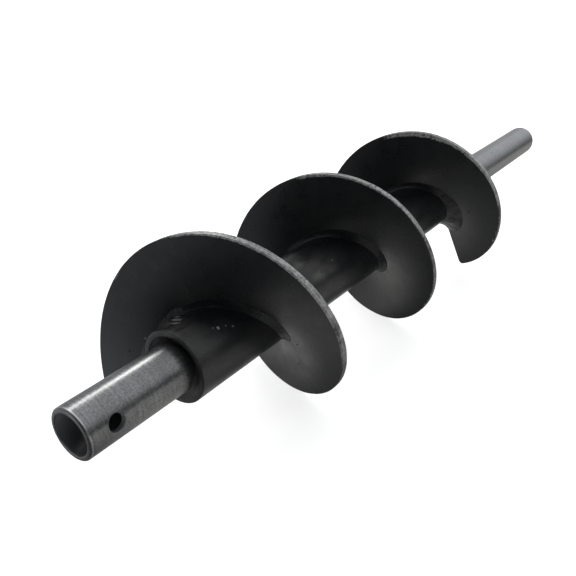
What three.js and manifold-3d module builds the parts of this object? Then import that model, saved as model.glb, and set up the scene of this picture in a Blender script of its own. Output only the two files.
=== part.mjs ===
import * as THREE from 'three';
import { mergeVertices } from 'three/addons/utils/BufferGeometryUtils.js';
import Module from 'manifold-3d';

// A flighted screw section: a centre tube with a helical plate flight welded round it, a
// cross-drilled hollow drive spigot at one end and a plain tail spigot at the other.
// +X runs along the shaft from the drive end to the tail end, +Z is up, lengths are mm.
// The origin is below the middle of the shaft, on the plane the rims rest on.

// Shaft
const LENGTH = 710;
const SPIGOT_RADIUS = 33.7 / 2;
const BORE_RADIUS = 27 / 2;
const SPIGOT_CHAMFER = 1;
const TUBE_RADIUS = 51 / 2;
const TUBE_WALL = 4;
const TUBE_START = 78;
const TUBE_END = 500;
const TUBE_CHAMFER = 0.8;
const SPIGOT_INSERTION = 40;

// Cross hole for the drive bolt
const HOLE_RADIUS = 5.5;
const HOLE_FROM_END = 19.25;
const HOLE_ANGLE = 167.1;

// Rings that centre the spigots in the tube, and the weld that fills each mouth
const BUSH_RECESS = 4;
const BUSH_LENGTH = 12;
const MOUTH_WELD_DEPTH = 2.6;

// Flight: a right-handed helix. Angles are in degrees about +X, from +Y towards +Z.
const FLIGHT_RADIUS = 75;
const PITCH = 140;
const FLIGHT_THICKNESS = 5.4;
const FACE_AT_ZERO_ANGLE = 84.5;
const START_ANGLE = -30;
const END_ANGLE = 963.75;
const JOINT_GAP = 0.6;

// Welds along the inside edge of the flight
const FILLET_LEG = 4.6;
const STITCH_LEG = 4;
const START_WELD_LEG = 4;
const START_WELD_GROWTH = 1;
const START_WELD = [-3.75, 56.25];
const END_WELD_LEG = 7;
const END_WELD_GROWTH = 1;
const END_WELD = [866.25, 960];
const FIRST_STITCH = 3.75;
const STITCH_SPAN = 45;

// Radial weld over the seam between two flight sections
const SEAM_WIDTH = 7;
const SEAM_HEIGHT = 1.5;

const CLEARANCE = 0.3;
const SEGMENTS = 48;
const STEP = 360 / SEGMENTS;
const AXIS_HEIGHT = FLIGHT_RADIUS * Math.cos(Math.PI / SEGMENTS);

const wasm = await Module();
wasm.setup();

const blackPaint = { color: 0x232528, roughness: 0.45, metalness: 0.15 };
const paintedWeld = { color: 0x2b2d30, roughness: 0.38, metalness: 0.2 };
const turnedSteel = { color: 0x808384, roughness: 0.42, metalness: 0.9 };

const radians = THREE.MathUtils.degToRad;
const shaft = new THREE.Group();
shaft.position.set(-LENGTH / 2, 0, AXIS_HEIGHT);

function add(name, geometry, look) {
  const mesh = new THREE.Mesh(geometry, new THREE.MeshStandardMaterial(look));
  mesh.name = name;
  shaft.add(mesh);
  return mesh;
}

// Shared corners merged, so that the surface closes on itself.
function closed(geometry) {
  geometry.deleteAttribute('normal');
  geometry.deleteAttribute('uv');
  const merged = mergeVertices(geometry, 1e-4);
  merged.computeVertexNormals();
  return merged;
}

// A ring turned round X from [x, radius] corners, listed anticlockwise seen with the
// radius to the right and x upwards.
function turned(corners) {
  const loop = [...corners, corners[0]];
  const profile = loop.map(([x, radius]) => new THREE.Vector2(radius, x));
  const geometry = new THREE.LatheGeometry(profile, SEGMENTS, radians(STEP / 2));
  geometry.rotateZ(-Math.PI / 2);
  return closed(geometry);
}

function ring(start, end, inner, outer, startChamfer = 0, endChamfer = 0) {
  const corners = [[start, inner], [start, outer - startChamfer]];
  if (startChamfer > 0) corners.push([start + startChamfer, outer]);
  if (endChamfer > 0) corners.push([end - endChamfer, outer]);
  corners.push([end, outer - endChamfer], [end, inner]);
  return turned(corners);
}

// Distance along X of the flight's drive-side face at an angle.
function faceAt(angle) {
  return FACE_AT_ZERO_ANGLE + PITCH * angle / 360;
}

// The angles where a swept piece has a section: its two ends and every step between.
function stations(from, to) {
  const angles = [from];
  const first = Math.floor(from / STEP + 0.5);
  for (let angle = (first + 0.5) * STEP; angle < to - 0.01; angle += STEP) {
    if (angle > from + 0.01) angles.push(angle);
  }
  angles.push(to);
  return angles;
}

// A bar with the section given as [x, radius] corners, wound round the shaft along the
// helix from one angle to another. x is measured from the drive-side face. The section
// grows away from its first corner by the fraction growth between the two ends.
function wound(corners, from, to, growth = 0) {
  const angles = stations(from, to);
  const section = new THREE.Shape(corners.map(([x, radius]) => new THREE.Vector2(x, radius)));
  const steps = angles.length - 1;
  const geometry = new THREE.ExtrudeGeometry(section, { depth: steps, steps, bevelEnabled: false });
  const position = geometry.attributes.position;
  const [rootX, rootRadius] = corners[0];
  for (let i = 0; i < position.count; i++) {
    const angle = angles[Math.round(position.getZ(i))];
    const scale = 1 + growth * (angle - from) / (to - from);
    const x = rootX + (position.getX(i) - rootX) * scale;
    const radius = rootRadius + (position.getY(i) - rootRadius) * scale;
    position.setXYZ(
      i,
      faceAt(angle) + x,
      radius * Math.cos(radians(angle)),
      radius * Math.sin(radians(angle)),
    );
  }
  return closed(geometry);
}

// A fillet in the corner between the tube and a face of the flight; side is -1 on the
// drive-side face and +1 on the tail-side face.
function fillet(side, leg, from, to, growth = 0) {
  const face = side < 0 ? 0 : FLIGHT_THICKNESS;
  const root = TUBE_RADIUS + CLEARANCE;
  const corners = [
    [face + side * CLEARANCE, root],
    [face + side * (CLEARANCE + leg), root],
    [face + side * (CLEARANCE + leg * 0.57), root + leg * 0.57],
    [face + side * CLEARANCE, root + leg],
    [face + side * CLEARANCE, root + leg / 2],
  ];
  return wound(corners, from, to, growth);
}

// A radial bead laid on the drive-side face over the seam at an angle.
function seamWeld(angle) {
  const inner = TUBE_RADIUS + FILLET_LEG + 1.5;
  const outer = FLIGHT_RADIUS - 1;
  const section = new THREE.Shape();
  section.moveTo(-SEAM_WIDTH / 2, 0);
  section.lineTo(SEAM_WIDTH / 2, 0);
  section.lineTo(SEAM_WIDTH / 4, SEAM_HEIGHT);
  section.lineTo(-SEAM_WIDTH / 4, SEAM_HEIGHT);
  const steps = 8;
  const bar = { depth: outer - inner, steps, bevelEnabled: false };
  const geometry = new THREE.ExtrudeGeometry(section, bar);
  const position = geometry.attributes.position;
  for (let i = 0; i < position.count; i++) {
    const radius = inner + position.getZ(i);
    const turn = radians(angle) - position.getX(i) / radius;
    const x = faceAt(THREE.MathUtils.radToDeg(turn)) - CLEARANCE * 1.5 - position.getY(i);
    position.setXYZ(i, x, radius * Math.cos(turn), radius * Math.sin(turn));
  }
  return closed(geometry);
}

function toSolid(geometry) {
  const vertProperties = Float32Array.from(geometry.attributes.position.array);
  const triVerts = Uint32Array.from(geometry.index.array);
  return new wasm.Manifold(new wasm.Mesh({ numProp: 3, vertProperties, triVerts }));
}

function toGeometry(solid) {
  const mesh = solid.getMesh();
  const geometry = new THREE.BufferGeometry();
  geometry.setAttribute('position', new THREE.BufferAttribute(mesh.vertProperties, 3));
  geometry.setIndex(new THREE.BufferAttribute(mesh.triVerts, 1));
  geometry.computeVertexNormals();
  return geometry;
}

// Drive spigot, drilled right through for the drive bolt
const spigotEnd = TUBE_START + SPIGOT_INSERTION;
const spigot = ring(0, spigotEnd, BORE_RADIUS, SPIGOT_RADIUS, SPIGOT_CHAMFER);
const drill = new THREE.CylinderGeometry(HOLE_RADIUS, HOLE_RADIUS, SPIGOT_RADIUS * 3, 24);
drill.rotateX(radians(HOLE_ANGLE));
drill.translate(HOLE_FROM_END, 0, 0);
const drilled = toSolid(spigot).subtract(toSolid(closed(drill)));
add('drive_spigot', toGeometry(drilled), turnedSteel);

// Tail spigot
const tailStart = TUBE_END - SPIGOT_INSERTION;
const tailSpigot = ring(tailStart, LENGTH, BORE_RADIUS, SPIGOT_RADIUS, 0, SPIGOT_CHAMFER);
add('tail_spigot', tailSpigot, turnedSteel);

// Centre tube
const tubeBore = TUBE_RADIUS - TUBE_WALL;
const tube = ring(TUBE_START, TUBE_END, tubeBore, TUBE_RADIUS, TUBE_CHAMFER, TUBE_CHAMFER);
add('centre_tube', tube, blackPaint);

// Centring rings, set back in the tube mouths
const bushInner = SPIGOT_RADIUS + CLEARANCE;
const bushOuter = tubeBore - CLEARANCE;
const driveBush = TUBE_START + BUSH_RECESS;
const tailBush = TUBE_END - BUSH_RECESS - BUSH_LENGTH;
add('drive_bush', ring(driveBush, driveBush + BUSH_LENGTH, bushInner, bushOuter), blackPaint);
add('tail_bush', ring(tailBush, tailBush + BUSH_LENGTH, bushInner, bushOuter), blackPaint);

// Ring welds that fill the mouths in front of the centring rings
const bushMiddle = (bushInner + bushOuter) / 2;
const driveWeldBase = driveBush - CLEARANCE;
const tailWeldBase = tailBush + BUSH_LENGTH + CLEARANCE;
add('drive_ring_weld', turned([
  [driveWeldBase - MOUTH_WELD_DEPTH, bushMiddle],
  [driveWeldBase - 1, bushOuter],
  [driveWeldBase, bushOuter],
  [driveWeldBase, bushInner],
  [driveWeldBase - 1, bushInner],
]), paintedWeld);
add('tail_ring_weld', turned([
  [tailWeldBase + MOUTH_WELD_DEPTH, bushMiddle],
  [tailWeldBase + 1, bushInner],
  [tailWeldBase, bushInner],
  [tailWeldBase, bushOuter],
  [tailWeldBase + 1, bushOuter],
]), paintedWeld);

// Flight sections: one full turn, one full turn and the part turn at the tail
const seams = [START_ANGLE + 360, START_ANGLE + 720];
const sections = [
  [START_ANGLE, seams[0] - JOINT_GAP / 2],
  [seams[0] + JOINT_GAP / 2, seams[1] - JOINT_GAP / 2],
  [seams[1] + JOINT_GAP / 2, END_ANGLE],
];
const flightRoot = TUBE_RADIUS + CLEARANCE;
const flightRadii = [
  flightRoot,
  flightRoot + FILLET_LEG,
  flightRoot + FILLET_LEG * 2,
  flightRoot + FILLET_LEG * 4,
  flightRoot + FILLET_LEG * 7,
  FLIGHT_RADIUS,
];
const flightSection = [
  ...flightRadii.map((radius) => [FLIGHT_THICKNESS, radius]),
  ...flightRadii.toReversed().map((radius) => [0, radius]),
];
sections.forEach(([from, to], index) => {
  add(`flight_${index + 1}`, wound(flightSection, from, to), blackPaint);
});

// Continuous fillets on the drive side, heavier where the flight starts and ends
const weldGap = 1.2;
const startWeld = fillet(-1, START_WELD_LEG, ...START_WELD, START_WELD_GROWTH);
add('flight_start_weld', startWeld, paintedWeld);
const fillets = [
  [START_WELD[1] + weldGap, seams[0] - weldGap],
  [seams[0] + weldGap, seams[1] - weldGap],
  [seams[1] + weldGap, END_WELD[0] - weldGap],
];
fillets.forEach(([from, to], index) => {
  add(`flight_${index + 1}_fillet_weld`, fillet(-1, FILLET_LEG, from, to), paintedWeld);
});
const endWeld = fillet(-1, END_WELD_LEG, ...END_WELD, END_WELD_GROWTH);
add('flight_end_weld', endWeld, paintedWeld);

// Radial welds over the two seams
seams.forEach((angle, index) => {
  add(`seam_weld_${index + 1}`, seamWeld(angle), paintedWeld);
});

// Short stitches on the tail side, three to a turn
for (let index = 0; index < 8; index++) {
  const from = FIRST_STITCH + index * 120;
  const stitch = fillet(1, STITCH_LEG, from, from + STITCH_SPAN);
  add(`back_stitch_weld_${index + 1}`, stitch, paintedWeld);
}

const screw = new THREE.Group();
screw.add(shaft);

export default screw;
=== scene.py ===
import math

import bmesh
import bpy
import numpy as np
from mathutils import Matrix, Vector


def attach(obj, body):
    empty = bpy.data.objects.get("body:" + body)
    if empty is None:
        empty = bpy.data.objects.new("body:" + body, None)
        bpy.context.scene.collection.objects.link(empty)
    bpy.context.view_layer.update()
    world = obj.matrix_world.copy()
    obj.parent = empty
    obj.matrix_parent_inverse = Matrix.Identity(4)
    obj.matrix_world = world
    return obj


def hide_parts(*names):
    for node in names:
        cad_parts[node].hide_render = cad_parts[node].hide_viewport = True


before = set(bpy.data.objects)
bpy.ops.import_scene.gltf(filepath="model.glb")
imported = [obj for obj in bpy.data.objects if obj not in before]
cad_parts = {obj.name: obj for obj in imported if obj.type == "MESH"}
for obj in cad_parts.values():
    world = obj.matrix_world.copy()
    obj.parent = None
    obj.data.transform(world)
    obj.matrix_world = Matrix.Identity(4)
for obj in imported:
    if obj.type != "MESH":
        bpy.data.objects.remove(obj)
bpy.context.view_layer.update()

# ---------------------------------------------------------------------------
# Sizes of the object, in millimetres and degrees, as in the CAD model
# ---------------------------------------------------------------------------
LENGTH = 710.0
SPIGOT_R = 16.85
BORE_R = 13.5
TUBE_R = 25.5
TUBE_BORE_R = 21.5
TUBE_START = 78.0
TUBE_END = 500.0
FLIGHT_R = 75.0
PLATE = 5.4
PITCH = 140.0
FACE_ZERO = 84.5
START_ANGLE = -30.0
END_ANGLE = 963.75
SEAMS = (330.0, 690.0)
RIM_SIDES = 48
AXIS_Z = FLIGHT_R * math.cos(math.pi / RIM_SIDES)
TO_ROW = np.array([-LENGTH / 2, 0.0, AXIS_Z])
MM = 0.001

DRIVE_SPIGOT_END = 118.0
TAIL_SPIGOT_START = 460.0
HOLE_X = 19.25
HOLE_R = 5.5
HOLE_ANGLE = 167.1
BUSH_INSET = 4.0
BUSH_LENGTH = 12.0
SEAM_GAP = 0.2
FILLET_LEG = 4.9
MIDDLE_FILLET_LEG = 5.2
STITCH_LEG = 4.3
STITCH_COUNT = 8
STITCH_START = 3.75
STITCH_STEP = 120.0
STITCH_SPAN = 45.0

# Camera: fitted to the photo; its place is in millimetres, measured as for the shaft
FOCAL_PIXELS = 664.016
PHOTO_PIXELS = 576.0
SENSOR_WIDTH = 36.0
CAMERA_PLACE = (-155.095, -258.384, 239.108)
CAMERA_RIGHT = (0.589489, -0.807777, 0.0)
CAMERA_UP = (0.381934, 0.278723, 0.881158)

# Studio, in metres: the floor is the widest, the sweep stands just inside its edge
FLOOR_HALF = 9
CARD_HALF = 3
CARD_HEIGHT = 0.0002
SWEEP_R = 8.8
SWEEP_DROP = 0.01
SWEEP_STEP = 7.5
KEY_PLACE, KEY_TARGET = (0.78, 1.27, 1.22), (-0.2, 0.0, 0.09)
KEY_SIZE = 0.36
KEY_POWER = 6.8
KEY_COLOUR = (1.0, 0.985, 0.96)

# ---------------------------------------------------------------------------
# Colours
# ---------------------------------------------------------------------------
PAINT_DARK, PAINT_LIGHT = (0.0056, 0.0062, 0.0072), (0.0095, 0.0103, 0.0117)
WELD_DARK, WELD_LIGHT = (0.0046, 0.0051, 0.0060), (0.0078, 0.0085, 0.0098)
DUST_DARK, DUST_LIGHT = (0.021, 0.0215, 0.023), (0.035, 0.0355, 0.037)
SCUFF_GREY = (0.075, 0.076, 0.076)
# pale rubbed paint, also used for painted highlights
THIN_PAINT_AND_SHEEN = (0.125, 0.119, 0.110)
WORN_DARK, WORN_LIGHT = (0.225, 0.225, 0.22), (0.42, 0.42, 0.41)
WORN_PIT = (0.03, 0.03, 0.031)
STEEL_DARK, STEEL_LIGHT = (0.165, 0.168, 0.168), (0.35, 0.356, 0.354)
STEEL_BLOTCH = (0.18, 0.18, 0.176)
STEEL_PIT = (0.07, 0.07, 0.068)
SOOT_BLACK = (0.014, 0.014, 0.015)
# near white: burnished edge, painted as a highlight
BURNISHED_HIGHLIGHT = (0.80, 0.80, 0.79)
BORE_GREY = (0.115, 0.118, 0.124)
PAPER = (0.8, 0.8, 0.8)
WHITE = (1.0, 1.0, 1.0)
FLOOR_GLOW = 0.78
SKY_BASE = 0.05
SKY_TINT = (0.95, 0.975, 1.01, 1.0)


# ---------------------------------------------------------------------------
# Helpers: smooth noise, helix positions, mesh building
# ---------------------------------------------------------------------------
def value_noise(points, seed=0):
    """Smooth noise between -1 and 1 at points (..., 3), one lattice cell per unit."""
    rng = np.random.RandomState(seed)
    perm = rng.permutation(256)
    values = rng.uniform(-1.0, 1.0, 256)
    cell = np.floor(points).astype(int)
    f = points - cell
    u = f * f * (3.0 - 2.0 * f)
    total = np.zeros(points.shape[:-1])
    for dx in (0, 1):
        for dy in (0, 1):
            for dz in (0, 1):
                h = perm[(cell[..., 0] + dx) & 255]
                h = perm[(h + cell[..., 1] + dy) & 255]
                h = perm[(h + cell[..., 2] + dz) & 255]
                w = np.where(dx, u[..., 0], 1 - u[..., 0])
                w = w * np.where(dy, u[..., 1], 1 - u[..., 1])
                w = w * np.where(dz, u[..., 2], 1 - u[..., 2])
                total += w * values[h]
    return total


def fractal(points, seed=0, octaves=3):
    total, amplitude, norm = 0.0, 1.0, 0.0
    for i in range(octaves):
        total = total + amplitude * value_noise(points * 2.0 ** i, seed + i)
        norm += amplitude
        amplitude *= 0.5
    return total / norm


def smoothstep(low, high, x):
    t = np.clip((np.asarray(x, float) - low) / (high - low), 0.0, 1.0)
    return t * t * (3.0 - 2.0 * t)


def face_at(angle):
    """x of the flight's drive-side face at an angle in degrees."""
    return FACE_ZERO + PITCH * np.asarray(angle, float) / 360.0


def around(x, radius, angle):
    """Points from distance along the shaft, radius (mm) and angle (degrees)."""
    a = np.radians(angle)
    x, radius, a = np.broadcast_arrays(x, radius, a)
    return np.stack([x, radius * np.cos(a), radius * np.sin(a)], -1)


def grid_faces(rows, columns, wrap_rows=False, wrap_columns=False):
    r = np.arange(rows if wrap_rows else rows - 1)
    c = np.arange(columns if wrap_columns else columns - 1)
    r, c = np.meshgrid(r, c, indexing="ij")
    r2, c2 = (r + 1) % rows, (c + 1) % columns
    corners = [r * columns + c, r * columns + c2, r2 * columns + c2, r2 * columns + c]
    return np.stack(corners, -1).reshape(-1, 4).tolist()


def build(name, verts, faces, material, node=None, sharp=35,
          attributes=None):
    """A mesh object from points in shaft millimetres, which replaces the named CAD node."""
    points = (np.asarray(verts, float).reshape(-1, 3) + TO_ROW) * MM
    mesh = bpy.data.meshes.new(name)
    mesh.from_pydata(points.tolist(), [], faces)
    work = bmesh.new()
    work.from_mesh(mesh)
    bmesh.ops.recalc_face_normals(work, faces=work.faces)
    work.to_mesh(mesh)
    work.free()
    mesh.update()
    for key, values in (attributes or {}).items():
        layer = mesh.attributes.new(key, "FLOAT", "POINT")
        layer.data.foreach_set("value", np.asarray(values, np.float32).ravel())
    mesh.shade_smooth()
    if sharp:
        mesh.set_sharp_from_angle(angle=math.radians(sharp))
    mesh.materials.append(material)
    obj = bpy.data.objects.new(name, mesh)
    bpy.context.scene.collection.objects.link(obj)
    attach(obj, "root")
    if node:
        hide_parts(node)


def swept(sections):
    """Closed body from sections (stations, points, 3): sides wrap, ends are capped."""
    stations, count = sections.shape[:2]
    faces = grid_faces(stations, count, wrap_columns=True)
    faces.append(list(range(count)))
    faces.append([(stations - 1) * count + i for i in reversed(range(count))])
    return sections.reshape(-1, 3), faces


# ---------------------------------------------------------------------------
# Materials
# ---------------------------------------------------------------------------
class Nodes:
    """Short names for building a node tree."""

    def __init__(self, name):
        self.material = bpy.data.materials.new(name)
        self.material.use_nodes = True
        self.tree = self.material.node_tree
        self.tree.nodes.clear()
        self.out = self.add("ShaderNodeOutputMaterial")
        self.bsdf = self.add("ShaderNodeBsdfPrincipled")
        self.link(self.bsdf.outputs[0], self.out.inputs[0])
        self.coords = self.add("ShaderNodeTexCoord").outputs["Object"]

    def add(self, kind, **settings):
        node = self.tree.nodes.new(kind)
        for key, value in settings.items():
            setattr(node, key, value)
        return node

    def link(self, a, b):
        self.tree.links.new(a, b)

    def put(self, socket, value):
        if isinstance(value, bpy.types.NodeSocket):
            self.link(value, socket)
        else:
            socket.default_value = value

    def math(self, operation, a, b):
        node = self.add("ShaderNodeMath", operation=operation)
        self.put(node.inputs[0], a)
        self.put(node.inputs[1], b)
        return node.outputs[0]

    def scaled(self, value, factor):
        return self.math("MULTIPLY", value, factor)

    def centred(self, value, factor):
        """Noise moved to lie round zero, then scaled."""
        return self.math("MULTIPLY", self.math("SUBTRACT", value, 0.5), factor)

    def noise(self, scale, detail=3.0, roughness=0.5, vector=None):
        node = self.add("ShaderNodeTexNoise")
        node.inputs["Scale"].default_value = scale
        node.inputs["Detail"].default_value = detail
        node.inputs["Roughness"].default_value = roughness
        self.link(vector or self.coords, node.inputs["Vector"])
        return node.outputs["Fac"]

    def stretch(self, scale):
        node = self.add("ShaderNodeMapping")
        node.inputs["Scale"].default_value = scale
        self.link(self.coords, node.inputs["Vector"])
        return node.outputs[0]

    def ramp(self, value, low, high, out_low=0.0, out_high=1.0):
        node = self.add("ShaderNodeMapRange", interpolation_type="SMOOTHSTEP")
        self.put(node.inputs[0], value)
        node.inputs[1].default_value = low
        node.inputs[2].default_value = high
        node.inputs[3].default_value = out_low
        node.inputs[4].default_value = out_high
        return node.outputs[0]

    def mix(self, factor, a, b):
        node = self.add("ShaderNodeMix", data_type="RGBA")
        self.put(node.inputs["Factor"], factor)
        for socket, value in ((node.inputs[6], a), (node.inputs[7], b)):
            if isinstance(value, tuple):
                socket.default_value = (*value, 1.0)
            else:
                self.link(value, socket)
        return node.outputs[2]

    def blend(self, factor, a, b):
        node = self.add("ShaderNodeMix", data_type="FLOAT")
        self.put(node.inputs["Factor"], factor)
        self.put(node.inputs[2], a)
        self.put(node.inputs[3], b)
        return node.outputs[0]

    def attribute(self, name):
        return self.add("ShaderNodeAttribute", attribute_name=name).outputs["Fac"]

    def bump(self, height, distance, below=None):
        node = self.add("ShaderNodeBump")
        node.inputs["Strength"].default_value = 1.0
        node.inputs["Distance"].default_value = distance
        self.link(height, node.inputs["Height"])
        if below is not None:
            self.link(below, node.inputs["Normal"])
        return node.outputs[0]

    def set(self, **sockets):
        for key, value in sockets.items():
            socket = self.bsdf.inputs[key.replace("_", " ")]
            if isinstance(value, tuple) and len(value) == 3:
                value = (*value, 1.0)
            self.put(socket, value)


def paint_material(name, dark, light, roughness, peel, specular=0.5):
    """Gloss paint. The wear attribute bares the metal; the rubbed-patch attribute lightens the
    paint, partly as thinned paint and partly as a painted highlight.
    """
    n = Nodes(name)
    broad = n.noise(14.0, 3.0, 0.55)
    fine = n.noise(260.0, 4.0, 0.6)
    tone = n.math("ADD", n.scaled(broad, 0.6), n.scaled(fine, 0.4))
    colour = n.mix(n.ramp(tone, 0.3, 0.7), dark, light)
    # scuffs: soft grey marks where the paint has been touched
    scuff_noise = n.noise(38.0, 2.0, 0.5)
    scuff = n.math("MULTIPLY", n.ramp(scuff_noise, 0.58, 0.78), n.ramp(fine, 0.4, 0.65))
    colour = n.mix(n.scaled(scuff, 0.05), colour, SCUFF_GREY)
    # rubbed patches: thin, streaky paint, partly laid as a painted highlight
    rub_and_sheen = n.attribute("rub_and_sheen")
    streaks = n.noise(1.0, 4.0, 0.65, vector=n.stretch((55.0, 130.0, 130.0)))
    rubbed_and_sheen = n.math("MULTIPLY", rub_and_sheen, n.ramp(streaks, 0.28, 0.62))
    colour = n.mix(rubbed_and_sheen, colour, THIN_PAINT_AND_SHEEN)
    # wear: bare metal along the rims, patchy and pitted
    wear = n.attribute("wear")
    patchy = n.noise(420.0, 4.0, 0.65)
    patches = n.noise(55.0, 3.0, 0.6)
    pitted = n.ramp(n.noise(16.0, 3.0, 0.6), 0.42, 0.62, 0.25, 1.5)
    worn = n.math("ADD", wear, n.centred(patchy, pitted))
    worn = n.math("ADD", worn, n.centred(patches, 0.8))
    worn = n.math("MULTIPLY", n.ramp(worn, 0.42, 0.75), n.ramp(wear, 0.02, 0.3))
    grain = n.ramp(n.noise(380.0, 4.0, 0.6), 0.34, 0.62)
    pit_noise = n.ramp(n.noise(620.0, 3.0, 0.6), 0.56, 0.64)
    pits = n.math("MULTIPLY", pit_noise, n.ramp(pitted, 0.5, 1.2))
    bare = n.mix(grain, WORN_DARK, WORN_LIGHT)
    bare = n.mix(n.scaled(pits, 0.85), bare, WORN_PIT)
    colour = n.mix(worn, colour, bare)
    rough_noise = n.noise(90.0, 4.0, 0.6)
    rough = n.ramp(rough_noise, 0.3, 0.7, roughness - 0.05, roughness + 0.07)
    rough = n.math("ADD", rough, n.scaled(rubbed_and_sheen, 0.06))
    rough = n.blend(worn, rough, 0.42)
    metal = n.scaled(worn, 0.55)
    # bump: the paint's orange peel, then nicks in the bared metal
    height = n.math("ADD", n.noise(1300.0, 2.0, 0.5), n.scaled(n.noise(330.0, 3.0, 0.55), 1.2))
    orange_peel = n.bump(height, 0.00005 * peel)
    nicks = n.math("MULTIPLY", worn, n.math("ADD", patchy, n.scaled(grain, 0.6)))
    normal = n.bump(nicks, 0.00025, orange_peel)
    n.set(Base_Color=colour, Roughness=rough, Metallic=metal, Normal=normal)
    n.bsdf.inputs["Specular IOR Level"].default_value = specular
    return n.material


def steel_material():
    """Bare turned steel. Attributes: soot, burnish and bore."""
    n = Nodes("turned_steel")
    # tool marks run round the shaft: noise squeezed along X
    marks = n.noise(1.0, 4.0, 0.65, vector=n.stretch((2600.0, 60.0, 60.0)))
    coarse = n.noise(1.0, 3.0, 0.6, vector=n.stretch((620.0, 30.0, 30.0)))
    speck = n.noise(800.0, 4.0, 0.75)
    blotch = n.noise(30.0, 4.0, 0.6)
    tone = n.math("ADD", n.scaled(marks, 0.30), n.scaled(coarse, 0.20))
    tone = n.math("ADD", tone, n.scaled(speck, 0.50))
    colour = n.mix(n.ramp(tone, 0.39, 0.61), STEEL_DARK, STEEL_LIGHT)
    colour = n.mix(n.scaled(n.ramp(blotch, 0.45, 0.75), 0.35), colour, STEEL_BLOTCH)
    pit = n.scaled(n.ramp(n.noise(480.0, 3.0, 0.7), 0.66, 0.74), 0.6)
    colour = n.mix(pit, colour, STEEL_PIT)
    # heat-tinted, over-sprayed band beside the painted tube
    soot = n.attribute("soot")
    grit = n.noise(520.0, 4.0, 0.7)
    soot_edge = n.math("ADD", soot, n.centred(grit, 0.7))
    sooty = n.math("MULTIPLY", n.ramp(soot_edge, 0.25, 0.95), n.ramp(soot, 0.02, 0.4))
    colour = n.mix(sooty, colour, SOOT_BLACK)
    # handled, burnished edge of the mouth, made near white all round as a painted highlight, and
    # the dull bore
    colour = n.mix(n.attribute("burnish_highlight"), colour, BURNISHED_HIGHLIGHT)
    bore = n.attribute("bore")
    colour = n.mix(bore, colour, BORE_GREY)
    rough = n.ramp(tone, 0.3, 0.7, 0.30, 0.42)
    rough = n.blend(sooty, rough, 0.55)
    rough = n.blend(bore, rough, 0.7)
    metal = n.blend(n.math("MAXIMUM", sooty, bore), 1.0, 0.1)
    tool_marks = n.bump(tone, 0.00003)
    normal = n.bump(n.math("MULTIPLY", grit, soot), 0.00012, tool_marks)
    n.set(Base_Color=colour, Roughness=rough, Metallic=metal, Normal=normal)
    tangent = n.add("ShaderNodeTangent", direction_type="RADIAL", axis="X")
    n.link(tangent.outputs[0], n.bsdf.inputs["Tangent"])
    n.bsdf.inputs["Anisotropic"].default_value = 0.6
    n.bsdf.inputs["Anisotropic Rotation"].default_value = 0.25
    return n.material


paint = paint_material("black_paint", PAINT_DARK, PAINT_LIGHT, 0.31, 1.0)
weld_paint = paint_material("weld_paint", WELD_DARK, WELD_LIGHT, 0.28, 0.6, 0.22)
glossy_weld = paint_material("glossy_weld", PAINT_DARK, PAINT_LIGHT, 0.26, 0.6, 0.65)
dusty_weld = paint_material("dusty_weld", DUST_DARK, DUST_LIGHT, 0.36, 0.8, 0.30)
steel = steel_material()

# ---------------------------------------------------------------------------
# Turned pieces: tube, tail spigot, centring rings
# ---------------------------------------------------------------------------
def rounded(corners, radii, steps):
    """Closed outline with its corners rounded; returns points [x, radius]."""
    corners = np.asarray(corners, float)
    outline = []
    for i, corner in enumerate(corners):
        before = corners[i - 1] - corner
        after = corners[(i + 1) % len(corners)] - corner
        r = radii[i]
        if r <= 0:
            outline.append(corner)
            continue
        p = corner + before / np.linalg.norm(before) * r
        q = corner + after / np.linalg.norm(after) * r
        for t in np.linspace(0, 1, steps + 1):
            outline.append((1 - t) ** 2 * p + 2 * t * (1 - t) * corner + t ** 2 * q)
    return np.array(outline)


def refine(outline, longest):
    """Splits the long sides of a closed outline."""
    points = []
    for i, p in enumerate(outline):
        q = outline[(i + 1) % len(outline)]
        pieces = max(1, int(np.ceil(np.linalg.norm(q - p) / longest)))
        for k in range(pieces):
            points.append(p + (q - p) * k / pieces)
    return np.array(points)


def turned(outline, columns, offset=None):
    """Revolves a closed [x, radius] outline; offset(x, radius, angle) adds to the radius."""
    angle = np.arange(columns) * 360.0 / columns
    x = np.repeat(outline[:, :1], columns, 1)
    radius = np.repeat(outline[:, 1:], columns, 1)
    angles = np.repeat(angle[None], len(outline), 0)
    if offset is not None:
        radius = radius + offset(x, radius, angles)
    verts = around(x, radius, angles)
    faces = grid_faces(len(outline), columns, wrap_rows=True, wrap_columns=True)
    return verts, faces, x, radius, angles


def ring_band(x, centre, width):
    return np.exp(-((np.asarray(x) - centre) / width) ** 2)


# Centre tube: rounded mouths, a slight waviness left by the heat of the welds
tube_outline = rounded(
    [(TUBE_START, TUBE_BORE_R), (TUBE_START, TUBE_R),
     (TUBE_END, TUBE_R), (TUBE_END, TUBE_BORE_R)],
    [0.5, 1.0, 1.0, 0.5], 5)
tube_outline = refine(tube_outline, 4.0)


def tube_ripple(x, radius, angle):
    p = around(x * 0.03, 1.2, angle)
    return np.where(radius > 24, 0.06 * fractal(p, 11, 2), 0.0)


def mouth_lightening(x, angle):
    """How much lighter the paint is laid at the drive mouth: a band over its upper side and a spot
    on top.
    """
    angle = np.mod(angle + 180.0, 360.0) - 180.0
    sector = smoothstep(-70.0, 30.0, angle) * smoothstep(190.0, 140.0, angle)
    band = smoothstep(104.0, 86.0, x) * sector
    spot = np.exp(-((angle - 94.0) / 9.0) ** 2 - ((x - 84.0) / 6.0) ** 2)
    return 0.24 * band + 0.34 * spot


# Rubbed patches on the tube, partly a painted highlight where the tube catches the light: place and
# width along the shaft, then round it, and strength
TUBE_RUBS_AND_SHEEN = ((215, 19, 129, 27, 0.30), (201, 6, 106, 10, 0.75),
             (211, 8, 141, 8, 1.0), (224, 7, 144, 7, 0.55))

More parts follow.
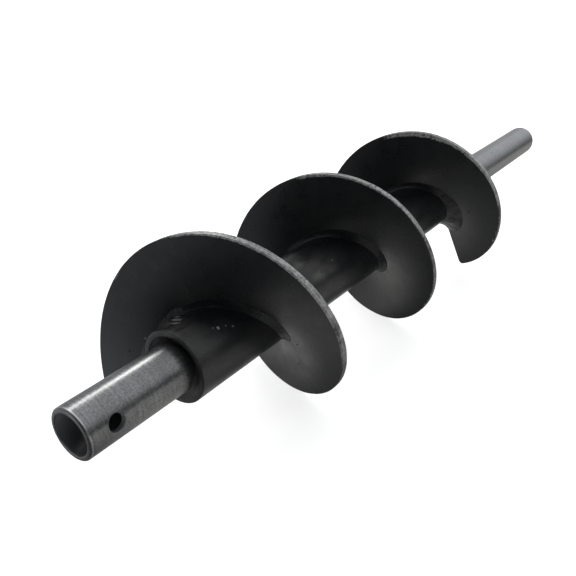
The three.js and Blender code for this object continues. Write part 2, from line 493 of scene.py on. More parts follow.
verts, faces, x, radius, angle = turned(tube_outline, 180, tube_ripple)
mouth = np.maximum(ring_band(x, TUBE_START, 1.2), ring_band(x, TUBE_END, 1.2))
wear = 0.32 * mouth * (radius > 23.5)
rub_and_sheen = mouth_lightening(x, angle)
for centre, width, turn, spread, amount in TUBE_RUBS_AND_SHEEN:
    rub_and_sheen = np.maximum(rub_and_sheen, amount * ring_band(x, centre, width) * ring_band(angle, turn, spread))
rub_and_sheen = rub_and_sheen * (radius > 24)
build("tube_body", verts, faces, paint, "centre_tube", attributes={"wear": wear, "rub_and_sheen": rub_and_sheen})

# Tail spigot: same pipe, plain, with a broken outer edge
tail_outline = rounded(
    [(TAIL_SPIGOT_START, BORE_R), (TAIL_SPIGOT_START, SPIGOT_R),
     (LENGTH, SPIGOT_R), (LENGTH, BORE_R)],
    [0.0, 0.3, 1.3, 0.5], 5)
tail_outline = refine(tail_outline, 8.0)
verts, faces, x, radius, _ = turned(tail_outline, 144)
bore = (radius < 14.6) & (x < LENGTH - 0.5)
soot = smoothstep(516, 501, x) * (radius > 16)
build("tail_spigot_body", verts, faces, steel, "tail_spigot",
      attributes={"soot": soot, "bore": bore.astype(float)})

# Centring rings
for name, start in (("drive_bush", TUBE_START + BUSH_INSET),
                    ("tail_bush", TUBE_END - BUSH_INSET - BUSH_LENGTH)):
    bush_in, bush_out, stop = SPIGOT_R + 0.05, TUBE_BORE_R - 0.05, start + BUSH_LENGTH
    outline = rounded([(start, bush_in), (start, bush_out), (stop, bush_out), (stop, bush_in)],
                      [0.5, 0.5, 0.5, 0.5], 3)
    verts, faces, x, _, _ = turned(outline, 96)
    build(name + "_body", verts, faces, paint, name, attributes={"wear": np.zeros(x.shape)})


RING_WELD_MID_R = 19.2


def ring_weld(name, node, mouth, direction, seed):
    """Weld that fills a tube mouth: a dished ring from the tube's lip down to the spigot."""
    inner, outer = SPIGOT_R - 0.1, TUBE_BORE_R + 1.2
    columns, across = 360, 17
    angle = np.arange(columns) * 360.0 / columns
    v = np.linspace(0, 1, across)
    angles, vs = np.meshgrid(angle, v, indexing="xy")
    arc = np.radians(angles) * RING_WELD_MID_R
    lump = fractal(around(0 * arc, 3.0, angles) + vs[..., None] * 1.5, seed, 3)
    phase = arc / 2.4 + 0.5 * (2 * vs - 1) ** 2 + 0.5 * lump
    # height above the mouth: a little proud at the lip, dished towards the spigot
    lip = 0.25 * np.sin(np.pi * np.clip((vs - 0.72) / 0.28, 0, 1))
    top = smoothstep(-0.45, 0.45, np.sin(np.radians(angles + 5.0)))
    dish = -(0.9 + 3.0 * top) * (1 - vs) ** 1.1 + (0.9 - 0.5 * top) * np.exp(-(vs / 0.10) ** 2)
    h = dish + lip + 0.07 * lump + 0.02 * np.sin(np.pi * vs) * np.cos(2 * np.pi * phase)
    h = h - 0.35 * smoothstep(0.93, 1.0, vs)
    r = inner + (outer - inner) * vs
    x = mouth + direction * h
    face = around(x, r, angles)
    deep = mouth - direction * 3.9
    under = np.stack([around(deep + 0 * angle, r, angle) for r in (TUBE_BORE_R + 0.1, inner)])
    verts = np.concatenate([face, under], 0)
    faces = grid_faces(across + 2, columns, wrap_rows=True, wrap_columns=True)
    build(name, verts, faces, dusty_weld, node,
          attributes={"wear": np.zeros(verts.shape[:-1])})


ring_weld("drive_mouth_weld", "drive_ring_weld", TUBE_START, -1, 21)
ring_weld("tail_mouth_weld", "tail_ring_weld", TUBE_END, 1, 22)


# ---------------------------------------------------------------------------
# Drive spigot: turned pipe drilled through, with a deburred hole edge
# ---------------------------------------------------------------------------
def drilled_spigot():
    """Returns points, faces, and the place along the shaft and the radius of every point."""
    # edge: width of the deburred lip; patch: half side of the square cut out round the hole
    edge, patch, cells = 0.38, 9.0, 16
    side = np.linspace(-patch, patch, cells + 1)
    patch_angles = np.degrees(np.arcsin(side / SPIGOT_R))
    gap = np.linspace(patch_angles[-1], 180 + patch_angles[0], 58)[1:-1]
    columns = np.concatenate([patch_angles, gap, patch_angles + 180, gap + 180]) + HOLE_ANGLE
    starts = (0, len(patch_angles) + len(gap))
    count = len(columns)

    def wall(radius, first):
        before = np.linspace(first + 0.35, HOLE_X - patch, 5)[:-1]
        after = np.linspace(HOLE_X + patch, DRIVE_SPIGOT_END - 0.5, 26)[1:]
        xs = np.concatenate([[first], before, HOLE_X + side, after])
        return np.stack([xs, np.full(len(xs), radius)], 1), 5

    outer, outer_first = wall(SPIGOT_R, 1.5)
    inner, inner_first = wall(BORE_R, 1.1)
    mouth = np.array([(0.42, BORE_R + 0.02), (0.14, BORE_R + 0.14), (0.03, BORE_R + 0.4),
                      (0.0, BORE_R + 0.8), (0.0, 15.2), (0.05, 15.75), (0.25, 16.1),
                      (0.6, 16.45), (0.95, 16.72)])
    tail = np.array([(DRIVE_SPIGOT_END, SPIGOT_R - 0.4), (DRIVE_SPIGOT_END, BORE_R + 0.4)])
    rows = np.concatenate([outer, tail, inner[::-1], mouth])
    inner_top = len(outer) + len(tail) + len(inner) - 1 - inner_first
    x = np.repeat(rows[:, :1], count, 1)
    radius = np.repeat(rows[:, 1:], count, 1)
    grid = around(x, radius, columns[None])
    verts = [grid.reshape(-1, 3)]
    total = grid.shape[0] * count
    windows = [(outer_first, outer_first + cells), (inner_top - cells, inner_top)]
    faces = []
    n_rows = len(rows)
    for i in range(n_rows):
        in_row = any(a <= i < b for a, b in windows)
        for j in range(count):
            if in_row and any(s <= j < s + cells for s in starts):
                continue
            i2, j2 = (i + 1) % n_rows, (j + 1) % count
            faces.append([i * count + j, i * count + j2, i2 * count + j2, i2 * count + j])
    axial = {"x": [x.ravel()], "r": [radius.ravel()]}
    for s, turn in zip(starts, (HOLE_ANGLE, HOLE_ANGLE + 180.0)):
        lips = []
        for (row0, row1), surface, lip_r in ((windows[0], SPIGOT_R, HOLE_R + edge),
                                             (windows[1], BORE_R, HOLE_R)):
            loop = [(row0, s + k) for k in range(cells)]
            loop += [(row0 + k, s + cells) for k in range(cells)]
            loop += [(row1, s + cells - k) for k in range(cells)]
            loop += [(row1 - k, s) for k in range(cells)]
            ids = [i * count + j for i, j in loop]
            bx = np.array([rows[i][0] for i, j in loop])
            ba = np.array([columns[j] for i, j in loop]) - turn
            ba = (ba + 180) % 360 - 180
            beta = np.arctan2(SPIGOT_R * np.sin(np.radians(ba)), bx - HOLE_X)
            cx = HOLE_X + lip_r * np.cos(beta)
            ca = np.degrees(np.arcsin(lip_r * np.sin(beta) / surface))
            previous = ids
            for k in range(5, -1, -1):
                t = (k / 6.0) ** 1.25
                px, pa = cx + (bx - cx) * t, ca + (ba - ca) * t
                verts.append(around(px, surface, pa + turn))
                axial["x"].append(px)
                axial["r"].append(np.full(len(px), surface))
                current = list(range(total, total + len(ids)))
                total += len(ids)
                for a in range(len(ids)):
                    b = (a + 1) % len(ids)
                    faces.append([previous[a], previous[b], current[b], current[a]])
                previous = current
            lips.append((previous, beta))
        (outer_lip, beta), (inner_lip, beta_in) = lips
        # the wall of the hole: pair the points of the two lips by their angle round the hole
        order = [int(np.argmin(np.abs(np.angle(np.exp(1j * (beta_in - b)))))) for b in beta]
        inner_lip = [inner_lip[k] for k in order]
        w = HOLE_R * np.sin(beta)
        turn_r = math.radians(turn)
        previous = outer_lip
        high = np.sqrt(SPIGOT_R ** 2 - w ** 2) - edge * 0.9
        low = np.sqrt(BORE_R ** 2 - w ** 2)
        for t in (0.0, 0.3, 0.65):
            h = high + (low - high) * t
            px = HOLE_X + HOLE_R * np.cos(beta)
            py = h * math.cos(turn_r) - w * math.sin(turn_r)
            pz = h * math.sin(turn_r) + w * math.cos(turn_r)
            verts.append(np.stack([px, py, pz], 1))
            axial["x"].append(px)
            axial["r"].append(np.full(len(px), 14.0))
            current = list(range(total, total + len(beta)))
            total += len(beta)
            for a in range(len(beta)):
                b = (a + 1) % len(beta)
                faces.append([previous[a], previous[b], current[b], current[a]])
            previous = current
        for a in range(len(beta)):
            b = (a + 1) % len(beta)
            faces.append([previous[a], previous[b], inner_lip[b], inner_lip[a]])
    along, away = (np.concatenate(axial[key]) for key in ("x", "r"))
    return np.concatenate(verts), faces, along, away


verts, faces, x, radius = drilled_spigot()
bore = ((radius < 14.5) & (x > 0.5)).astype(float)
soot = smoothstep(65, 78, x) * (radius > 16)
# outer edge of the mouth: burnished, near white as a painted highlight
burnish_highlight = 0.9 * ((x > 0.7) & (x < 1.6) & (radius > 16.5))
build("drive_spigot_body", verts, faces, steel, "drive_spigot",
      attributes={"soot": soot, "bore": bore, "burnish_highlight": burnish_highlight})


# ---------------------------------------------------------------------------
# Flight plates: pressed helicoid plate with a sheared, worn rim
# ---------------------------------------------------------------------------
# Rims are not quite round: how far each stretch stands out from, or leans along, the
# true helix, as (angle, millimetres)
RIM_RADIUS_DRIFT = (
    (-30, 0.8), (0, 1.8), (30, 2.0), (50, 1.5), (68, 0.2), (90, 0.5), (130, 0.4), (168, 1.0),
    (200, 0.5), (225, 0.3), (245, 0.0), (290, 0.0), (345, 0.5), (380, 1.7), (405, 1.8), (420, 1.4),
    (440, 1.2), (480, 0.2), (517, -0.8), (540, 0.0), (560, 0.6), (600, 1.3), (612, 0.9), (622, 0.5),
    (630, 0.0), (690, 0.2), (735, 0.9), (765, 2.5), (790, 2.8), (815, 2.8), (840, 1.7), (870, 0.6),
    (905, 0.5), (930, 2.0), (950, 2.6), (964, 2.3))
RIM_LEAN = (
    (-30, 0.0), (345, 0.0), (375, -1.0), (450, -1.0), (505, -2.0), (640, -2.0), (690, 0.0),
    (964, 0.0))
# How much the rim is rubbed bare, over one turn; it is highest on the upper side of every turn,
# partly as a painted highlight where the rim faces the light
RIM_WEAR_AND_SHEEN = (
    (-40, 0.40), (40, 0.45), (66, 0.50), (80, 0.90), (95, 1.0), (148, 1.0), (166, 0.72),
    (190, 0.60), (210, 0.35), (300, 0.3), (320, 0.40))


def drift(angle, knots):
    """Knots joined by lines, then smoothed by averaging over a few degrees."""
    a, v = zip(*knots)
    turns = np.array([-9.0, -6.0, -3.0, 0.0, 3.0, 6.0, 9.0])
    return np.mean([np.interp(angle + t, a, v) for t in turns], axis=0)


def plate(name, node, start, end, seed, round_start=0.0, round_end=0.0):
    """Flight plate between two angles; its section is [place through the plate, radius]."""
    inner = TUBE_R - 0.15
    near = [(0.0, r) for r in np.linspace(inner, FLIGHT_R - 1.6, 34)]
    near += [(0.0, FLIGHT_R - 1.1), (0.03, FLIGHT_R - 0.75), (0.14, FLIGHT_R - 0.42),
             (0.36, FLIGHT_R - 0.17), (0.68, FLIGHT_R - 0.04)]
    rim = [(s, FLIGHT_R + 0.02) for s in np.linspace(1.05, PLATE - 0.7, 6)]
    far = [(PLATE - 0.4, FLIGHT_R - 0.03), (PLATE - 0.14, FLIGHT_R - 0.14),
           (PLATE - 0.02, FLIGHT_R - 0.4), (PLATE, FLIGHT_R - 1.0)]
    far += [(PLATE, r) for r in np.linspace(FLIGHT_R - 2.2, inner, 20)]
    section = np.array(near + rim + far)
    stations = int((end - start) / 1.1)
    angle = np.linspace(start, end, stations + 1)
    ends = [start + d for d in (0.0, 0.12, 0.35)], [end - d for d in (0.35, 0.12, 0.0)]
    angle = np.unique(np.concatenate([angle[1:-1], *ends]))
    a, sx = np.meshgrid(angle, section[:, 0], indexing="ij")
    _, sr = np.meshgrid(angle, section[:, 1], indexing="ij")
    outer = smoothstep(26, 75, sr)
    # slow waves left by pressing, growing towards the rim
    wave = fractal(around(a / 300.0, 1.6, a), seed, 2)
    sx = sx + outer * (0.35 * wave + drift(a, RIM_LEAN))
    # uneven cut along the rim
    at_rim = smoothstep(FLIGHT_R - 1.5, FLIGHT_R, sr)
    notch = fractal(around(a / 8.0, 12.0, a) + sx[..., None] * 0.12, seed + 5, 3)
    slow = fractal(around(a / 60.0, 1.3, a), seed + 9, 2)
    sr = sr + at_rim * (0.10 * notch - 0.04 + 0.08 * slow)
    sr = sr + smoothstep(50, FLIGHT_R, sr) * drift(a, RIM_RADIUS_DRIFT)
    grooves = fractal(np.stack([sx * 1.3, a * 0.9, 0 * a], -1), seed + 7, 2)
    sr = sr + 0.05 * grooves * (at_rim > 0.97)
    # end edges drawn in, and outer corners rounded off
    for limit, sign, corner in ((start, 1.0, round_start), (end, -1.0, round_end)):
        near_end = np.abs(a - limit)
        squeeze = np.clip(1.0 - near_end / 0.35, 0.0, 1.0) ** 2 * (corner > 0)
        sx = sx + (PLATE / 2 - sx) * 0.12 * squeeze
        sr = sr - 0.35 * squeeze * at_rim
        if corner > 0:
            top = FLIGHT_R + drift(np.array([limit]), RIM_RADIUS_DRIFT)[0]
            over = np.clip(sr - (top - corner), 0.0, corner * 0.999)
            back = corner - np.sqrt(corner ** 2 - over ** 2)
            pull = np.degrees(back / sr)
            weight = np.clip(1.0 - near_end / 9.0, 0.0, 1.0)
            a = a + sign * pull * weight
    x = face_at(a) + sx
    verts, faces = swept(around(x, sr, a))
    edge_line = smoothstep(FLIGHT_R - 1.3, FLIGHT_R - 0.3, sr)
    halo = smoothstep(FLIGHT_R - 4.5, FLIGHT_R - 0.5, sr)
    wear = np.clip(0.22 * halo + 0.62 * edge_line, 0, 1)
    # bare rim, lighter on the upper side of each turn as a painted highlight
    wear = wear * np.interp(np.mod(a + 40.0, 360.0) - 40.0, *zip(*RIM_WEAR_AND_SHEEN))
    end_wear = np.zeros_like(wear)
    if round_end > 0:
        end_wear = 0.45 * smoothstep(end - 0.8, end - 0.1, a)
    build(name, verts, faces, paint, node, sharp=40,
          attributes={"wear": np.maximum(wear, end_wear)})


plate("flight_plate_1", "flight_1", START_ANGLE, SEAMS[0] - SEAM_GAP, 31, round_start=6.0)
plate("flight_plate_2", "flight_2", SEAMS[0] + SEAM_GAP, SEAMS[1] - SEAM_GAP, 41)
plate("flight_plate_3", "flight_3", SEAMS[1] + SEAM_GAP, END_ANGLE, 51, round_end=4.5)


# ---------------------------------------------------------------------------
# Weld beads
# ---------------------------------------------------------------------------
def fillet_bead(name, node, angles, toe_x, toe_r, leg_plate, bulge, side, seed, ripple, lumps,
                toe, pitch=2.1, blunt=3.0, grain=4.5, rub_and_sheen=0.0):
    """Bead in the corner between tube and plate. toe_x and toe_r are where it meets the tube,
    leg_plate how far it climbs the plate; all are arrays along the bead."""
    face = face_at(angles) + (PLATE if side > 0 else 0.0)
    steps = np.hypot(np.radians(np.diff(angles)) * TUBE_R, np.diff(face))
    arc = np.concatenate([[0], np.cumsum(steps)])
    ends = np.minimum(arc, arc[-1] - arc)
    near_end = np.clip(ends / blunt, 0, 1)
    taper = 0.25 + 0.75 * np.sqrt(near_end * (2 - near_end))
    corner_r = np.full_like(angles, TUBE_R)
    lump = fractal(np.stack([arc / 6.0, 0 * arc, 0 * arc + seed], -1), seed, 2)
    grow = taper * (1 + 0.04 * lump)
    tx = face + (toe_x - face) * grow
    tr = corner_r + (toe_r - corner_r) * grow
    fr = corner_r + leg_plate * grow
    v = np.linspace(0, 1, 23)
    mid_x, mid_r = (tx + face) / 2, (tr + fr) / 2
    nx, nr = fr - tr, np.abs(tx - face) + 1e-6
    size = np.hypot(nx, nr)
    nx, nr = side * np.abs(nx) / size, nr / size
    push = 2.0 * bulge * grow
    cx, cr = mid_x + nx * push, mid_r + nr * push
    w0, w1, w2 = (1 - v) ** 2, 2 * v * (1 - v), v ** 2
    px = w0 * tx[:, None] + w1 * cx[:, None] + w2 * face[:, None]
    pr = w0 * tr[:, None] + w1 * cr[:, None] + w2 * fr[:, None]
    window = np.sin(np.pi * v) ** 0.8
    phase = arc[:, None] / pitch + 0.55 * (2 * v - 1) ** 2 + 0.35 * lump[:, None]
    wave = np.cos(2 * np.pi * phase)
    wave = np.sign(wave) * np.abs(wave) ** np.where(wave > 0, 0.8, 1.3)
    place = around(px, pr, angles[:, None])
    rough = fractal(place / grain, seed + 3, 2) + 0.2 * fractal(place * 3.2 / grain, seed + 6, 2)
    ripple, lumps, toe = (np.broadcast_to(q, angles.shape)[:, None] for q in (ripple, lumps, toe))
    h = window * taper[:, None] * (ripple * wave + lumps * rough)
    h = h + toe * smoothstep(0.0, 0.07, v) * smoothstep(1.0, 0.93, v)
    px, pr = px + nx[:, None] * h, pr + nr[:, None] * h
    # the bead's hidden sides sink into the plate and the tube
    inside = face - side * 0.8
    close = [(inside, fr - 0.2), (inside, np.minimum(tr, corner_r) - 0.8), (tx, tr - 0.8)]
    sx = np.concatenate([px] + [c[0][:, None] for c in close], 1)
    sr = np.concatenate([pr] + [c[1][:, None] for c in close], 1)
    verts, faces = swept(around(sx, sr, angles[:, None]))
    build(name, verts, faces, weld_paint, node, sharp=60,
          attributes={"wear": np.zeros(sx.shape), "rub_and_sheen": np.zeros(sx.shape) + rub_and_sheen})


def plain_fillet(name, node, start, end, leg, side, seed):
    angles = np.linspace(start, end, max(12, int((end - start) * 0.45 / 0.4)))
    face = face_at(angles) + (PLATE if side > 0 else 0.0)
    one = np.ones_like(angles)
    fillet_bead(name, node, angles, face + side * leg, TUBE_R * one, leg * one, -0.09 * leg * one,
                side, seed, ripple=0.05, lumps=0.16, toe=0.22)


plain_fillet("fillet_1", "flight_1_fillet_weld", 51.0, 330.8, FILLET_LEG, -1, 61)
plain_fillet("fillet_2", "flight_2_fillet_weld", 329.2, 690.8, MIDDLE_FILLET_LEG, -1, 62)
plain_fillet("fillet_3", "flight_3_fillet_weld", 689.2, 876.0, FILLET_LEG, -1, 63)
for i in range(STITCH_COUNT):
    start = STITCH_START + STITCH_STEP * i
    plain_fillet(f"stitch_{i + 1}", f"back_stitch_weld_{i + 1}", start, start + STITCH_SPAN,
                 STITCH_LEG, 1, 70 + i)


def curve(angles, *pairs):
    """Value along a bead, from (angle, value) pairs joined by lines."""
    return np.interp(angles, [p[0] for p in pairs], [p[1] for p in pairs])


# Start of the flight: a smooth bead that runs up from the tube mouth, with a lump where it stops
a = np.linspace(-29.5, 60.0, 190)
face = face_at(a)
leg = curve(a, (-30, 4), (-15, 5.5), (0, 6.5), (15, 11), (30, 13), (40, 11), (50, 9), (60, 4.5))
toe_x = np.maximum(face - leg, 78.5)
toe_x = np.where(face < 79.5, 78.2, toe_x)
toe_x = np.minimum(toe_x, face + 4.0)
toe_r = TUBE_R - 2.0 * smoothstep(81.0, 78.5, face)
plate_leg = curve(a, (-30, 5), (-15, 8.0), (0, 8.6), (15, 7.6), (30, 7.0), (40, 7.4),
                  (47, 6.8), (55, 5.0), (60, 4.7))
bulge = curve(a, (-30, 0.0), (-10, -0.1), (10, 0.0), (28, -0.3), (36, -0.2), (43, 0.3),
              (49, -0.2), (60, -0.42))
ripple = curve(a, (-30, 0.03), (30, 0.05), (36, 0.42), (47, 0.42), (56, 0.08), (60, 0.05))
lumps = curve(a, (-30, 0.10), (30, 0.14), (42, 0.5), (60, 0.3))
toe = curve(a, (-30, 0.05), (10, 0.05), (18, 0.25), (34, 0.25), (42, 0.2), (60, 0.15))
# paint lightened along the bead near the mouth, fading out by 40 degrees
rub_and_sheen = curve(a, (-30, 0.12), (0, 0.20), (20, 0.16), (32, 0.05), (40, 0.0))[:, None]
fillet_bead("start_bead", "flight_start_weld", a, toe_x, toe_r, plate_leg, bulge, -1, 81,
            ripple, lumps, toe, pitch=2.9, blunt=2.0, rub_and_sheen=rub_and_sheen)


def start_pad():
    """Puddle of weld metal between the start of the flight and the tube mouth."""
    columns, rows = 150, 90
    angle, x = np.meshgrid(np.linspace(8.0, 94.0, columns), np.linspace(78.4, 112.0, rows))
    arc = np.radians(angle) * TUBE_R
    crest = np.where(angle > 57.0, np.exp(-((angle - 57.0) / 17.0) ** 2),
                     np.exp(-((angle - 57.0) / 30.0) ** 2))
    toe = 101.0 + 0.14 * (angle - 60.0)
    h = 2.7 * crest * smoothstep(77.5, 90.0, x) * smoothstep(toe + 7.0, toe - 7.0, x)
    # ripples of the last puddle, which lies askew between the flight and the mouth
    dx, da = x - 93.0, arc - np.radians(71.0) * TUBE_R
    along, across = -0.70 * dx + 0.71 * da, 0.71 * dx + 0.70 * da
    away = np.hypot(along / 6.5, across / 3.6)
    h = h + 0.42 * np.cos(2 * np.pi * (along / 4.4 + 0.010 * across ** 2)) * np.exp(-away ** 2.5)
    h = h + 0.09 * fractal(around(x, 25.0, angle) / 4.5, 33, 3) * crest - 0.35
    top = around(x, TUBE_R + h, angle)
    under = around(x, np.minimum(TUBE_R + h - 0.3, TUBE_R - 0.8), angle)
    count = rows * columns
    faces = grid_faces(rows, columns)
    faces += [[count + i for i in reversed(f)] for f in faces]
    edge = list(range(columns))
    edge += [r * columns + columns - 1 for r in range(1, rows)]
    edge += [(rows - 1) * columns + i for i in reversed(range(columns - 1))]
    edge += [r * columns for r in reversed(range(1, rows - 1))]
    for i, a in enumerate(edge):
        b = edge[(i + 1) % len(edge)]
        faces.append([a, b, count + b, count + a])
    verts = np.concatenate([top.reshape(-1, 3), under.reshape(-1, 3)])
    rub_and_sheen = np.concatenate([mouth_lightening(x, angle).ravel(), np.zeros(count)])
    build("start_pad", verts, faces, glossy_weld, None, sharp=0,
          attributes={"wear": np.zeros(len(verts)), "rub_and_sheen": rub_and_sheen})


start_pad()

# End of the flight: several passes piled up towards the cut end
a = np.linspace(862.0, 963.0, 260)
leg = curve(a, (862, 4.8), (885, 7), (915, 9.5), (935, 13), (950, 16), (963, 16.5))
plate_leg = curve(a, (862, 4.8), (885, 8.5), (915, 13), (935, 16.5), (950, 17), (963, 14))
bulge = curve(a, (862, -0.4), (885, 0.4), (915, 0.5), (935, -0.8), (963, -1.6))
lumps = curve(a, (862, 0.3), (885, 1.1), (963, 1.5))
# paint lightened along the end bead from 870 degrees, full from 915 on
rub_and_sheen = curve(a, (870, 0.0), (915, 0.16))[:, None]
fillet_bead("end_bead", "flight_end_weld", a, face_at(a) - leg, TUBE_R + 0 * a, plate_leg, bulge,
            -1, 82, 0.05, lumps, 0.03, pitch=3.8, blunt=2.0, grain=9.0, rub_and_sheen=rub_and_sheen)


def seam_bead(name, node, angle, seed):
    """Radial bead laid on the drive-side face over the seam between two plates."""
    r = np.linspace(TUBE_R + 5.0, FLIGHT_R - 0.6, 110)
    w = np.linspace(-1, 1, 15)
    rr, ww = np.meshgrid(r, w, indexing="ij")
    lump = fractal(np.stack([rr / 5.0, ww, 0 * rr + seed], -1), seed, 3)
    ends = np.minimum(rr - r[0], r[-1] - rr)
    taper = np.sqrt(np.clip(ends / 2.5, 0.02, 1))
    half = 3.4 * (1 + 0.07 * lump) * (0.5 + 0.5 * taper)
    crown = (1 - ww ** 2) ** 0.8
    ripple = np.cos(2 * np.pi * (rr / 2.0 + 0.5 * ww ** 2 + 0.3 * lump))
    h = taper * crown * (1.25 + 0.15 * lump + 0.13 * ripple)
    turn = angle + np.degrees(ww * half / rr)
    top = around(face_at(turn) - h, rr, turn)
    under_turn = angle + np.degrees(np.array([1.0, -1.0]) * 2.6 / rr[:, :1])
    under = around(face_at(under_turn) + 0.8, np.repeat(rr[:, :1], 2, 1), under_turn)
    verts, faces = swept(np.concatenate([top, under], 1))
    build(name, verts, faces, weld_paint, node, sharp=60,
          attributes={"wear": np.zeros(len(verts))})


seam_bead("seam_bead_1", "seam_weld_1", SEAMS[0], 91)
seam_bead("seam_bead_2", "seam_weld_2", SEAMS[1], 92)


# Beads seen in the photo: on the tube (place, angle, size) and on the flight's drive-side face
# (angle, radius, size). The first of them all are bare metal, light enough to stand as painted
# glints; the rest are painted over.
TUBE_SPATTER = (
    (104.5, 125, 1.15), (101.5, 121, 0.5), (110.5, 128, 0.45), (115.0, 134, 0.65),
    (232.0, 132, 0.5))
FACE_SPATTER = (
    (7, 34, 0.8), (131, 28.3, 0.55), (136, 28.2, 0.5), (142, 29.6, 0.55), (448, 28.5, 0.5),
    (512, 28.5, 0.5), (888, 33, 0.8), (922, 34.5, 0.8), (900, 45, 0.7))
BARE_GLINT_SPATTER = 10
STRAY_SPATTER = 14


def spatter():
    """Beads of weld metal stuck to the tube and to the drive-side faces."""
    rng = np.random.RandomState(5)
    spots = [(x, TUBE_R + 0.3, angle, size) for x, angle, size in TUBE_SPATTER]
    for angle, radius, size in FACE_SPATTER:
        spots.append((face_at(angle) - 0.1, radius, angle, size))
    for _ in range(STRAY_SPATTER):
        angle = rng.uniform(-10, 955)
        if rng.rand() < 0.5:
            x, radius = face_at(angle) - rng.uniform(6, 16), TUBE_R
        else:
            x, radius = face_at(angle), rng.uniform(33, 52)
        spots.append((x, radius, angle, rng.uniform(0.3, 0.6)))
    verts, faces, bare = [], [], []
    for place, (x, radius, angle, size) in enumerate(spots):
        if x < TUBE_START + 2 and radius < 30:
            continue
        ball = bmesh.new()
        bmesh.ops.create_icosphere(ball, subdivisions=2, radius=size)
        centre = around(x, radius, angle)
        first = len(verts)
        for v in ball.verts:
            p = np.array(v.co)
            p = p * (1.0 + 0.18 * value_noise(p * 1.3 / size + centre, 3))
            verts.append(centre + p)
            # the first beads are bare metal, their light colour a painted glint
            bare.append(0.95 if place < BARE_GLINT_SPATTER else 0.0)
        faces += [[first + v.index for v in f.verts] for f in ball.faces]
        ball.free()
    build("weld_spatter", verts, faces, weld_paint, None, sharp=0,
          attributes={"wear": bare})


spatter()

# ---------------------------------------------------------------------------
# Studio
# ---------------------------------------------------------------------------
def stage(name, verts, faces, material, hidden_from=()):
    """Staging mesh; hidden_from names the kinds of ray that do not meet it."""
    mesh = bpy.data.meshes.new(name)
    mesh.from_pydata(verts, [], faces)
    mesh.materials.append(material)
    obj = bpy.data.objects.new(name, mesh)
    bpy.context.scene.collection.objects.link(obj)
    for kind in hidden_from:
        setattr(obj, "visible_" + kind, False)


def stage_square(name, half, height, material, hidden_from=()):
    corners = [(-half, -half, height), (half, -half, height),
               (half, half, height), (-half, half, height)]
    stage(name, corners, [(0, 1, 2, 3)], material, hidden_from)


def glowing_paper(name, strength):
    n = Nodes(name)
    n.set(Base_Color=PAPER, Roughness=0.9, Emission_Color=WHITE, Emission_Strength=strength)
    return n.material


stage_square("floor", FLOOR_HALF, 0, glowing_paper("floor_paper", FLOOR_GLOW))

world = bpy.data.worlds.new("studio")
bpy.context.scene.world = world
world.use_nodes = True
sky = world.node_tree
background = sky.nodes["Background"]
direction = sky.nodes.new("ShaderNodeTexCoord").outputs["Generated"]


def sky_patch(towards, outer, inner, strength):
    """Glow in the sky around a direction, from outer to inner degrees away from it."""
    dot = sky.nodes.new("ShaderNodeVectorMath")
    dot.operation = "DOT_PRODUCT"
    sky.links.new(direction, dot.inputs[0])
    dot.inputs[1].default_value = Vector(towards).normalized()
    ramp = sky.nodes.new("ShaderNodeMapRange")
    ramp.interpolation_type = "SMOOTHSTEP"
    sky.links.new(dot.outputs["Value"], ramp.inputs[0])
    ramp.inputs[1].default_value = math.cos(math.radians(outer))
    ramp.inputs[2].default_value = math.cos(math.radians(inner))
    ramp.inputs[3].default_value = 0.0
    ramp.inputs[4].default_value = strength
    return ramp.outputs[0]


glow = None
for patch in (
    sky_patch((0.60, -0.05, 0.78), 62, 40, 0.76),
    sky_patch((0.92, -0.03, 0.38), 24, 8, 0.55),
    sky_patch((0.05, 0.66, 0.75), 30, 14, 0.46),
    sky_patch((0.55, 0.81, 0.22), 25, 10, 0.42),
    sky_patch((-0.70, 0.71, 0.02), 48, 8, 0.35),
):
    total = sky.nodes.new("ShaderNodeMath")
    if glow is None:
        total.inputs[1].default_value = SKY_BASE
    else:
        sky.links.new(glow, total.inputs[1])
    sky.links.new(patch, total.inputs[0])
    glow = total.outputs[0]
sky.links.new(glow, background.inputs[1])
background.inputs[0].default_value = SKY_TINT

# A glowing grey card that only shows in reflections: painted reflections of a bench under the
# object, with darker tones as painted shade. Its tones follow what the photo's steel and paint
# reflect; they change along X and Y of the frame, in metres.
card_mat = Nodes("painted_reflection_card")
split = card_mat.add("ShaderNodeSeparateXYZ")
card_mat.link(card_mat.coords, split.inputs[0])
x, y = split.outputs[0], split.outputs[1]


def fade(place, low, high, first, second):
    """The first tone below low, the second above high."""
    return card_mat.mix(card_mat.ramp(place, low, high), first, second)


# painted reflections: pale tones stand for a lit bench, dark ones are painted shade under and
# around the object
front = fade(x, -0.36, -0.26, (0.07, 0.072, 0.076), (0.50, 0.497, 0.485))
middle = fade(x, -0.14, -0.11, (0.185, 0.187, 0.190), (0.125, 0.127, 0.130))
middle = fade(x, -0.03, 0.01, middle, (0.31, 0.313, 0.317))
middle = card_mat.mix(card_mat.ramp(y, -0.10, -0.055, 0.75, 0.0), middle, (0.62, 0.615, 0.60))
front = fade(x, -0.24, -0.20, front, middle)
front = fade(x, 0.28, 0.45, front, (0.60, 0.597, 0.585))
front = fade(x, 0.70, 1.05, front, (0.12, 0.121, 0.122))
left = fade(y, 0.02, 0.16, (0.08, 0.082, 0.087), (0.50, 0.51, 0.54))
near = fade(y, 0.012, 0.05, (0.45, 0.447, 0.44), (0.80, 0.795, 0.78))
right = fade(x, -0.17, -0.08, near, (0.64, 0.635, 0.62))
right = fade(y, 0.02, 0.16, right, (0.42, 0.43, 0.45))
behind = fade(x, -0.40, -0.24, left, right)
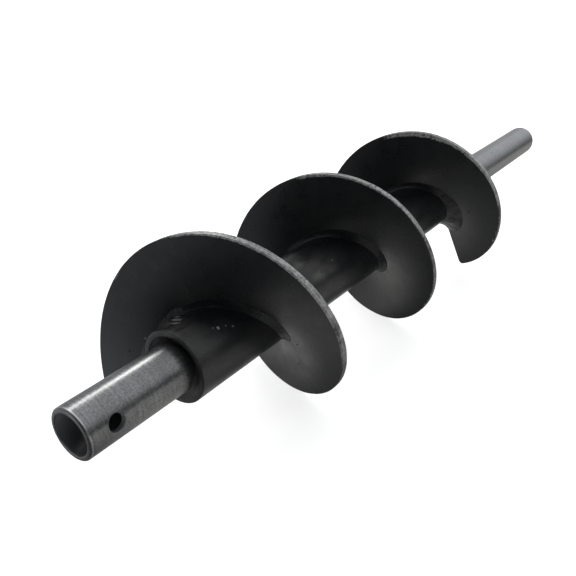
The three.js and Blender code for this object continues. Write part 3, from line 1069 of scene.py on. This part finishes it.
grey = fade(y, -0.036, 0.004, front, behind)
card_mat.set(Base_Color=(0.0, 0.0, 0.0), Roughness=0.9)
card_mat.set(Emission_Color=grey, Emission_Strength=1.0)
stage_square("painted_reflection_card", CARD_HALF, CARD_HEIGHT, card_mat.material,
             ("camera", "diffuse", "shadow", "transmission"))

# Pale sweep behind everything, seen only by the camera
turns = np.radians(np.arange(0, 360, SWEEP_STEP))
rise = np.radians(np.arange(0, 91, SWEEP_STEP))
verts = [(SWEEP_R * math.cos(t) * math.cos(h), SWEEP_R * math.sin(t) * math.cos(h),
          SWEEP_R * math.sin(h) - SWEEP_DROP) for h in rise for t in turns]
faces = grid_faces(len(rise), len(turns), wrap_columns=True)
stage("sweep", verts, faces, glowing_paper("sweep_paper", 1.0),
      ("diffuse", "glossy", "transmission", "shadow"))

light_data = bpy.data.lights.new("key_softbox", "AREA")
light_data.shape = "RECTANGLE"
light_data.size = light_data.size_y = KEY_SIZE
light_data.energy = KEY_POWER
light_data.color = KEY_COLOUR
light = bpy.data.objects.new("key_softbox", light_data)
bpy.context.scene.collection.objects.link(light)
light.location = KEY_PLACE
aim = Vector(KEY_TARGET) - Vector(KEY_PLACE)
light.rotation_euler = aim.to_track_quat("-Z", "Y").to_euler()

# ---------------------------------------------------------------------------
# Camera
# ---------------------------------------------------------------------------
right = Vector(CAMERA_RIGHT)
up = Vector(CAMERA_UP)
back = right.cross(up)
camera_data = bpy.data.cameras.new("camera")
camera_data.sensor_width = SENSOR_WIDTH
camera_data.sensor_fit = "HORIZONTAL"
camera_data.lens = FOCAL_PIXELS / PHOTO_PIXELS * SENSOR_WIDTH
camera = bpy.data.objects.new("camera", camera_data)
bpy.context.scene.collection.objects.link(camera)
position = (np.array(CAMERA_PLACE) + TO_ROW) * MM
camera.matrix_world = Matrix.Translation(position.tolist()) @ Matrix(
    ((right.x, up.x, back.x), (right.y, up.y, back.y), (right.z, up.z, back.z))
).to_4x4()
bpy.context.scene.camera = camera
bpy.context.scene.view_settings.view_transform = "Standard"
